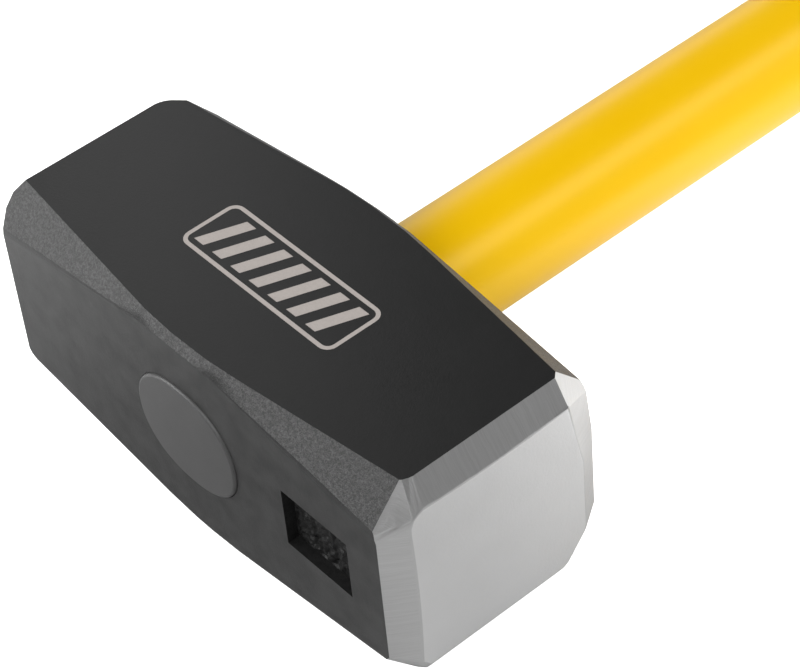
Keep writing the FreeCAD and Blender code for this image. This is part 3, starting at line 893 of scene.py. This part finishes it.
def finishInside():
    material, tree, shader = newMaterial("rodFibreglass", Specular_IOR_Level=0.5)
    place = node(tree, "ShaderNodeMapping")
    tree.links.new(node(tree, "ShaderNodeTexCoord").outputs["Object"], place.inputs[0])
    place.inputs["Scale"].default_value = (2200, 30, 2200)
    strands = noise(tree, place.outputs[0], 1.0, 3.0)
    tone = blendColour(tree, strands, (0.42, 0.40, 0.26, 1), (0.60, 0.58, 0.42, 1))
    tree.links.new(tone, shader.inputs["Base Color"])
    tree.links.new(remap(tree, strands, 0.0, 1.0, 0.35, 0.55), shader.inputs["Roughness"])
    addBump(tree, shader, strands, 0.00005, 0.7)
    resin, tree, shader = newMaterial("eyeResin", Specular_IOR_Level=0.5)
    grains = useGroup(tree, speckle, Grain=1400.0, Mottle=200.0)
    tree.links.new(blendColour(tree, grains["Mottle"], (0.30, 0.22, 0.10, 1), (0.42, 0.31, 0.15, 1)),
                   shader.inputs["Base Color"])
    tree.links.new(remap(tree, grains["Mottle"], 0.0, 1.0, 0.25, 0.45), shader.inputs["Roughness"])
    addBump(tree, shader, grains["Grain"], 0.00005, 0.5)
    for name, finish in (("core_rod", material), ("eye_bond", resin)):
        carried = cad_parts[name]
        carried.data.materials.clear()
        carried.data.materials.append(finish)


finishInside()

# floor, lights and camera
stageLook = {
    "floor": 0.70, "floorGlow": 1.0,
    "spots": [((0.10, 0.15, 0.0), 0.17, 2.0),       # middle, reach, strength
              ((-0.15, -0.08, 0.0), 0.14, 0.9),
              ((0.24, 0.09, 0.0), 0.11, 0.8)],
    "greyCard": ((0.0, -0.10, 0.0), 0.12),
    "horizon": 0.32, "overhead": 0.05, "fade": (0.10, 0.60), "backdrop": 1.0,
}


def makeFloor():
    startPiece()
    bpy.ops.mesh.primitive_plane_add(size=12, location=(0, 0, headLow.z))
    floor = newPiece("floor")
    material, tree, shader = newMaterial("paleFloor", Roughness=0.8)
    # to the camera the floor is a lit table, and in the steel it is grey board with lit patches
    glow = node(tree, "ShaderNodeEmission")
    glow.inputs["Strength"].default_value = stageLook["floorGlow"]
    here = node(tree, "ShaderNodeTexCoord").outputs["Object"]

    def nearness(place, reach):
        spot = node(tree, "ShaderNodeVectorMath", operation="DISTANCE")
        tree.links.new(here, spot.inputs[0])
        spot.inputs[1].default_value = place
        return remap(tree, spot.outputs["Value"], 0.0, reach, 1.0, 0.0)

    lit = 0.0
    for place, reach, strength in stageLook["spots"]:
        patch = calc(tree, "POWER", nearness(place, reach), 2.0)
        lit = calc(tree, "ADD", calc(tree, "MULTIPLY", patch, strength), lit)
    tree.links.new(blendColour(tree, nearness(*stageLook["greyCard"]), grey(stageLook["floor"]), grey(0.14)),
                   shader.inputs["Base Color"])
    tree.links.new(lit, shader.inputs["Emission Strength"])
    shader.inputs["Emission Color"].default_value = grey(1.0)
    both = node(tree, "ShaderNodeAddShader")
    tree.links.new(shader.outputs[0], both.inputs[0])
    tree.links.new(glow.outputs[0], both.inputs[1])
    pick = node(tree, "ShaderNodeMixShader")
    tree.links.new(node(tree, "ShaderNodeLightPath").outputs["Is Camera Ray"], pick.inputs[0])
    tree.links.new(shader.outputs[0], pick.inputs[1])
    tree.links.new(both.outputs[0], pick.inputs[2])
    tree.links.new(pick.outputs[0], tree.nodes["Material Output"].inputs["Surface"])
    floor.data.materials.append(material)


# name, middle, width, height, radiance, where it points
panels = [
    ("keyPanel", (-0.34, -0.32, 0.22), 0.36, 0.28, 5.0, (0, 0, 0.03)),
    ("rearPanel", (-0.84, 0.43, 0.88), 0.28, 0.70, 1.15, (0, 0, 0.06)),
    ("sidePanel", (-0.85, 0.50, 0.22), 1.0, 0.40, 0.95, (0, 0.1, 0.04)),
    ("backPanel", (0.10, 1.05, 0.25), 1.6, 0.5, 2.0, (0, 0, 0.03)),
    ("topPanel", (0.50, -0.80, 1.20), 1.6, 1.2, 2.7, (0.1, 0.2, 0)),
    ("frontPanel", (0.75, 0.60, 0.91), 1.0, 0.45, 3.6, (0, 0.1, 0.03)),
]


def makeLights():
    for name, place, width, height, radiance, target in panels:
        light = bpy.data.lights.new(name, "AREA")
        light.shape = "RECTANGLE"
        light.size = width
        light.size_y = height
        light.energy = radiance * width * height * math.pi
        panel = bpy.data.objects.new(name, light)
        scene.collection.objects.link(panel)
        panel.location = place
        panel.rotation_euler = (Vector(target) - Vector(place)).to_track_quat("-Z", "Y").to_euler()
        panel.visible_camera = False
    world = bpy.data.worlds.new("studio")
    world.use_nodes = True
    tree = world.node_tree
    seen = node(tree, "ShaderNodeLightPath").outputs["Is Camera Ray"]
    towards = node(tree, "ShaderNodeSeparateXYZ")
    tree.links.new(node(tree, "ShaderNodeTexCoord").outputs["Generated"], towards.inputs[0])
    room = remap(tree, towards.outputs["Z"], *stageLook["fade"], stageLook["horizon"], stageLook["overhead"])
    pick = node(tree, "ShaderNodeMix")
    feed(tree, pick, Factor=seen, A=room, B=stageLook["backdrop"])
    tree.links.new(pick.outputs[0], tree.nodes["Background"].inputs["Strength"])
    tree.nodes["Background"].inputs["Color"].default_value = grey(1.0)
    scene.world = world


cameraView = {
    "place": (0.39422, -0.26418, 0.50088),
    "turn": (44.9425, 4.319, 49.2064),      # degrees
    "lens": 127.2,
    "sensor": 36,
    "shift": (0.01623, 0.04187),
}


def makeCamera():
    lens = bpy.data.cameras.new("camera")
    lens.sensor_width = cameraView["sensor"]
    lens.lens = cameraView["lens"]
    lens.shift_x, lens.shift_y = cameraView["shift"]
    camera = bpy.data.objects.new("camera", lens)
    scene.collection.objects.link(camera)
    camera.location = cameraView["place"]
    camera.rotation_euler = [math.radians(angle) for angle in cameraView["turn"]]
    scene.camera = camera


makeFloor()
makeLights()
makeCamera()
scene.view_settings.view_transform = "Standard"
